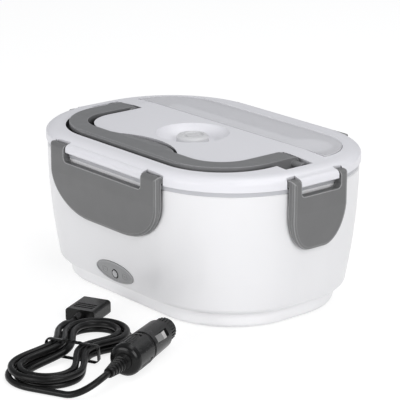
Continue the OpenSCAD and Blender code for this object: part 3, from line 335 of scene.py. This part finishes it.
def lead_route():
    """The cord's middle line from the connector through the hank to the plug."""
    wound = [hank(i / POINTS_PER_TURN) for i in range(int(TURNS * POINTS_PER_TURN) + 1)]
    x0, y0, z0 = wound[0]
    x1, y1, z1 = wound[-1]
    tail = []
    for i in range(TAIL_POINTS + 1):
        f = i / TAIL_POINTS
        a = math.radians(180 + 90 * f)
        tail.append((x0 + TAIL_R + TAIL_R * math.cos(a), -PLUG_OFF + TAIL_R + TAIL_R * math.sin(a),
                     CORD_R + (PLUG_Z - CORD_R) * smooth(f)))
    tail.append((tail[-1][0] + CORD_D, -PLUG_OFF, PLUG_Z))
    straight = [(x0, y0 + (tail[0][1] - y0) * i / 6, z0) for i in range(1, 6)]
    # the lead changes height between its points 2 and 8
    lead = [(x1 + LEAD_L * i / LEAD_POINTS, y1, z1 + (CONNECTOR_Z - z1) * smooth((i - 2) / 6))
            for i in range(1, LEAD_POINTS + 1)]
    return lead[::-1] + wound[::-1] + straight + tail


def make_cord(points):
    c = bpy.data.curves.new("lead_cord", "CURVE")
    c.dimensions = "3D"
    c.bevel_depth = CORD_R * MM
    c.bevel_resolution = 5
    c.use_fill_caps = True
    s = c.splines.new("POLY")
    s.points.add(len(points) - 1)
    for p, q in zip(s.points, points):
        p.co = (*q, 1)
    o = bpy.data.objects.new("lead_cord", c)
    scene.collection.objects.link(o)
    c.materials.append(black_soft)
    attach(o, "base")
    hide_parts("cord_hank", "cord_tail", "cord_lead")
    return o


route = [placed(p) for p in lead_route()]
cord = make_cord(route)


# ---------------------------------------------------------------- small pieces
def tube_faces(first, rings, sides, closed):
    """Faces between rings of points, from point first on. An open tube gets a cap at each end."""
    faces = []
    for i in range(rings if closed else rings - 1):
        a, b = first + i * sides, first + (i + 1) % rings * sides
        for j in range(sides):
            k = (j + 1) % sides
            faces.append((a + j, a + k, b + k, b + j))
    if not closed:
        last = first + (rings - 1) * sides
        faces += [tuple(range(first, first + sides)), tuple(range(last, last + sides))]
    return faces


def black_piece(name, verts, faces):
    me = bpy.data.meshes.new(name)
    me.from_pydata([tuple(v) for v in verts], [], faces)
    me.update()
    bm = bmesh.new()
    bm.from_mesh(me)
    bmesh.ops.recalc_face_normals(bm, faces=bm.faces)
    bm.to_mesh(me)
    bm.free()
    for p in me.polygons:
        p.use_smooth = True
    o = bpy.data.objects.new(name, me)
    scene.collection.objects.link(o)
    me.materials.append(black)
    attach(o, "base")
    return o


RING_R = 2.85
RING_WIDE, RING_HIGH = 0.5, 0.28        # half the bezel's width and height
RING_SUNK = 0.25        # its middle lies this far behind the window's face


def make_lamp_ring():
    """The dark bezel round the lamp's window on the front panel."""
    lens_node = nodes["led_lens"]
    points = [lens_node.matrix_world @ v.co for v in lens_node.data.vertices]
    middle = sum(q.y for q in points) / len(points)
    ends = [[q for q in points if (q.y < middle) == front] for front in (True, False)]
    front, rear = (sum(e, Vector()) / len(e) for e in ends)
    out = (front - rear).normalized()
    across = Vector((1, 0, 0))
    up = out.cross(across)
    centre = front - out * RING_SUNK * MM
    rings, sides = 48, 8
    verts = []
    for i in range(rings):
        a = 2 * math.pi * i / rings
        ray = across * math.cos(a) + up * math.sin(a)
        for j in range(sides):
            b = 2 * math.pi * j / sides
            verts.append(centre + ray * (RING_R + RING_WIDE * math.cos(b)) * MM
                         + out * RING_HIGH * MM * math.sin(b))
    black_piece("lamp_ring", verts, tube_faces(0, rings, sides, closed=True))


# the ribbon's loop lies just clear of the floor and round the hank's waist
TIE_LOW = 0.45
TIE_HIGH = RISE + CORD_D + WAIST_UP + 0.75
TIE_HALF = FOLD - DRAW_IN + STEP * BACK + CORD_R + 0.9
TIE_CORNER = 2.6
TIE_SECTION = ((-1.9, -0.22), (-1.9, 0.22), (-1.2, 0.26), (-0.5, 0.44), (0.5, 0.44), (1.2, 0.26),
               (1.9, 0.22), (1.9, -0.22), (0.5, -0.34), (-0.5, -0.34))
TIE_SWAY = 0.5          # how far the ribbon wanders along the hank,
TIE_SWAY_STEP = 0.7     # in radians from point to point
STRAND_R = 0.5
TWIST_WIDE, TWIST_HIGH = 0.558, 0.35
TWIST_TURNS = 2
TWIST_FROM, TWIST_LENGTH = -6, 13
SPLAY_FROM, SPLAY = 0.75, 5     # past this share of their length the ends spread at this rate


def make_tie():
    """A twist tie: a ribbon round the hank's waist, its ends twisted together on top."""
    right, top, bottom = TIE_HALF - TIE_CORNER, TIE_HIGH - TIE_CORNER, TIE_LOW + TIE_CORNER
    loop = []
    for y, z, start in ((right, top, 0), (-right, top, 90), (-right, bottom, 180),
                        (right, bottom, 270)):
        for i in range(9):
            a = math.radians(start + 90 * i / 8)
            loop.append((y + TIE_CORNER * math.cos(a), z + TIE_CORNER * math.sin(a)))
    verts = []
    for i, (y, z) in enumerate(loop):
        before, after = loop[i - 1], loop[(i + 1) % len(loop)]
        along = Vector((after[0] - before[0], after[1] - before[1])).normalized()
        for w, h in TIE_SECTION:
            verts.append(placed((w + TIE_SWAY * math.sin(i * TIE_SWAY_STEP), y + along.y * h,
                                 z - along.x * h)))
    faces = tube_faces(0, len(loop), len(TIE_SECTION), closed=True)
    steps, sides = 40, 8
    for strand in (0, 1):
        faces += tube_faces(len(verts), steps + 1, sides, closed=False)
        for i in range(steps + 1):
            f = i / steps
            turn = math.pi * strand + f * 2 * math.pi * TWIST_TURNS
            x = TWIST_WIDE * (1 + max(0.0, f - SPLAY_FROM) * SPLAY) * math.cos(turn)
            z = TIE_HIGH + TWIST_HIGH + TWIST_HIGH * math.sin(turn)
            for j in range(sides):
                a = 2 * math.pi * j / sides
                verts.append(placed((x + STRAND_R * math.cos(a), TWIST_FROM + TWIST_LENGTH * f,
                                     z + STRAND_R * math.sin(a))))
    o = black_piece("hank_tie", verts, faces)
    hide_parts("cord_tie")
    return o


make_lamp_ring()
tie = make_tie()

# ---------------------------------------------------------------- floor, world and lights
FLOOR_SIDE = 8
FLOOR_Z = -0.0002
FLOOR_LIT = (0.92, 0.92, 0.92, 1)       # what lights the object from below
FLOOR_SEEN = (0.3, 0.3, 0.3, 1)         # what the object's shadow shows on, under the glow
FLOOR_GLOW = 0.79
SKY_LIT, SKY_LIT_STRENGTH = (0.95, 0.97, 1.0, 1), 0.34
SKY_SEEN, SKY_SEEN_STRENGTH = (1, 1, 1, 1), 1.0


def choose(tree, lit, seen, *rays):
    """Mix two shaders: seen for the rays that Light Path names, and lit for the others."""
    path = tree.nodes.new("ShaderNodeLightPath")
    share = path.outputs[rays[0]]
    for ray in rays[1:]:
        either = tree.nodes.new("ShaderNodeMath")
        either.operation = "MAXIMUM"
        tree.links.new(share, either.inputs[0])
        tree.links.new(path.outputs[ray], either.inputs[1])
        share = either.outputs[0]
    mix = tree.nodes.new("ShaderNodeMixShader")
    for source, target in zip((share, lit.outputs[0], seen.outputs[0]), mix.inputs):
        tree.links.new(source, target)
    return mix.outputs[0]


def make_floor():
    bpy.ops.mesh.primitive_plane_add(size=FLOOR_SIDE, location=(0, 0, FLOOR_Z))
    o = bpy.context.object
    o.name = "floor"
    m = bpy.data.materials.new("floor")
    m.use_nodes = True
    tree = m.node_tree
    tree.nodes.clear()
    out = tree.nodes.new("ShaderNodeOutputMaterial")
    lit = tree.nodes.new("ShaderNodeBsdfDiffuse")
    lit.inputs["Color"].default_value = FLOOR_LIT
    soft = tree.nodes.new("ShaderNodeBsdfDiffuse")
    soft.inputs["Color"].default_value = FLOOR_SEEN
    glow = tree.nodes.new("ShaderNodeEmission")
    glow.inputs["Strength"].default_value = FLOOR_GLOW
    seen = tree.nodes.new("ShaderNodeAddShader")
    tree.links.new(soft.outputs[0], seen.inputs[0])
    tree.links.new(glow.outputs[0], seen.inputs[1])
    tree.links.new(choose(tree, lit, seen, "Is Camera Ray", "Is Glossy Ray",
                          "Is Transmission Ray"), out.inputs[0])
    o.data.materials.append(m)


def make_world():
    w = bpy.data.worlds.new("studio")
    scene.world = w
    w.use_nodes = True
    tree = w.node_tree
    tree.nodes.clear()
    out = tree.nodes.new("ShaderNodeOutputWorld")
    lit = tree.nodes.new("ShaderNodeBackground")
    lit.inputs["Color"].default_value = SKY_LIT
    lit.inputs["Strength"].default_value = SKY_LIT_STRENGTH
    seen = tree.nodes.new("ShaderNodeBackground")
    seen.inputs["Color"].default_value = SKY_SEEN
    seen.inputs["Strength"].default_value = SKY_SEEN_STRENGTH
    tree.links.new(choose(tree, lit, seen, "Is Camera Ray", "Is Transmission Ray"), out.inputs[0])


LIGHTS = (  # name, place, size, watts
    ("key", (1.35, -0.35, 0.75), (0.8, 0.8), 9.8),
    ("fill", (0.05, -1.6, 0.5), (1.0, 0.8), 10),
    ("top", (0.1, 0.5, 1.5), (1.2, 1.0), 9.4),
)
LIGHTS_AIM = Vector((0, 0, 0.05))


def area_light(name, place, size, power):
    data = bpy.data.lights.new(name, "AREA")
    data.shape = "RECTANGLE"
    data.size, data.size_y = size
    data.energy = power
    o = bpy.data.objects.new(name, data)
    o.location = place
    o.rotation_euler = (LIGHTS_AIM - Vector(place)).to_track_quat("-Z", "Y").to_euler()
    scene.collection.objects.link(o)


make_floor()
make_world()
for light in LIGHTS:
    area_light(*light)

scene.view_settings.view_transform = "Standard"
